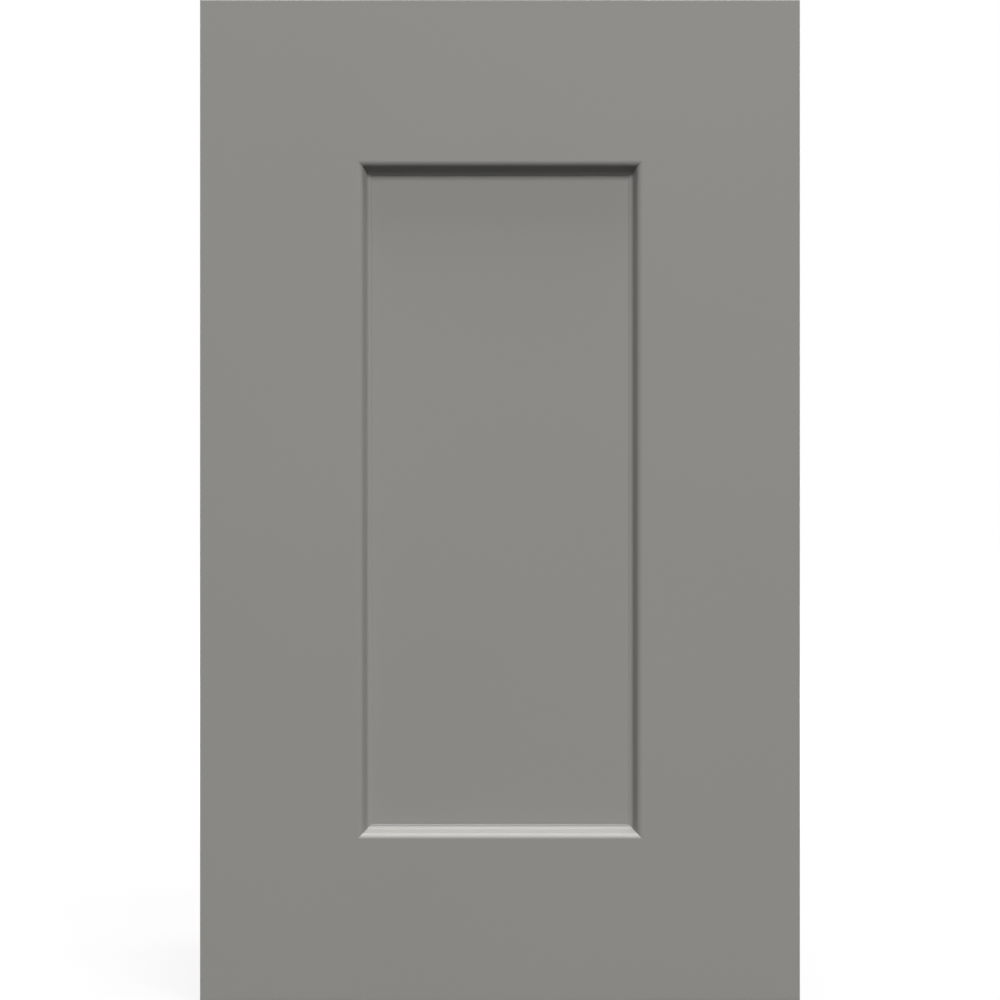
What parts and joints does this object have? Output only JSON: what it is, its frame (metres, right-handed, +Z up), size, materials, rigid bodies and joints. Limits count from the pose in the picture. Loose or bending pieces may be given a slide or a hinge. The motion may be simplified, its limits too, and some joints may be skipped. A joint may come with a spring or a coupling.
{
  "type": "pantry cabinet",
  "caption": "Small frameless pantry cabinet with a hinged recessed-panel door, adjustable shelves and a touch latch.",
  "frame": {"origin": "middle of the underside of the whole cabinet's box, door included, on the surface it stands on", "axes": "+X to the right seen from the front, the door faces -Y, +Z up"},
  "size_m": [0.3, 0.323, 0.5],
  "materials": {
    "door_lacquer": "satin grey lacquer over hardwood and fibreboard",
    "carcass_board": "clear-lacquered maple inside, satin grey lacquer outside",
    "back_board": "maple-faced plywood",
    "rail_board": "maple-faced plywood",
    "edge_band": "satin grey lacquer",
    "shelf_board": "clear-lacquered maple",
    "shelf_edge": "solid maple edge",
    "dowel_beech": "plain beech",
    "hinge_nickel": "satin nickel plate",
    "pin_steel": "polished steel",
    "screw_zinc": "bright zinc plate",
    "cam_zinc": "die-cast zinc",
    "cap_plastic": "grey moulded cap",
    "latch_plastic": "grey moulded nylon",
    "plunger_plastic": "white acetal",
    "magnet_dark": "nickel-plated magnet",
    "spring_steel": "spring steel",
    "strike_steel": "zinc-plated steel",
    "spacer_rubber": "soft black rubber"
  },
  "bodies": {
    "carcass": {"left_side_panel": "carcass_board", "right_side_panel": "carcass_board", "top_panel": "carcass_board", "bottom_panel": "carcass_board", "back_panel": "back_board", "upper_hanging_rail": "rail_board", "lower_hanging_rail": "rail_board", "left_edge_band": "edge_band", "right_edge_band": "edge_band", "top_edge_band": "edge_band", "bottom_edge_band": "edge_band", "cam_bolts": "screw_zinc", "cam_locks": "cam_zinc", "cam_caps": "cap_plastic", "dowels": "dowel_beech", "upper_shelf_pins": "hinge_nickel", "lower_shelf_pins": "hinge_nickel", "upper_hinge_plate": "hinge_nickel", "lower_hinge_plate": "hinge_nickel", "upper_hinge_arm": "hinge_nickel", "lower_hinge_arm": "hinge_nickel", "hinge_plate_screws": "screw_zinc", "hinge_arm_screws": "screw_zinc", "latch_housing": "latch_plastic", "latch_screws": "screw_zinc"},
    "door": {"hinge_stile": "door_lacquer", "latch_stile": "door_lacquer", "door_top_rail": "door_lacquer", "door_bottom_rail": "door_lacquer", "door_centre_panel": "door_lacquer", "panel_spacers": "spacer_rubber", "upper_hinge_cup": "hinge_nickel", "lower_hinge_cup": "hinge_nickel", "hinge_cup_screws": "screw_zinc", "upper_hinge_pin": "pin_steel", "lower_hinge_pin": "pin_steel", "latch_strike_plate": "strike_steel", "strike_plate_screw": "screw_zinc"},
    "latch_plunger": {"latch_plunger": "plunger_plastic", "latch_magnet": "magnet_dark", "latch_spring": "spring_steel"},
    "upper_shelf": {"upper_shelf": "shelf_board", "upper_shelf_edge_band": "shelf_edge"},
    "lower_shelf": {"lower_shelf": "shelf_board", "lower_shelf_edge_band": "shelf_edge"}
  },
  "joints": [
    {"name": "door_swing", "type": "hinge", "parent": "carcass", "child": "door", "pos_m": [-0.14075, -0.1507, 0.25], "axis": [0, 0, -1], "range_deg": [0, 105]},
    {"name": "latch_press", "type": "slide", "parent": "carcass", "child": "latch_plunger", "axis": [0, 1, 0], "range_m": [0, 0.0025], "stiffness_N_per_m": 600, "deforming": ["latch_spring"]},
    {"name": "upper_shelf_lift", "type": "slide", "parent": "carcass", "child": "upper_shelf", "axis": [0, 0, 1], "range_m": [0, 0.025]},
    {"name": "lower_shelf_lift", "type": "slide", "parent": "carcass", "child": "lower_shelf", "axis": [0, 0, 1], "range_m": [0, 0.025]}
  ]
}
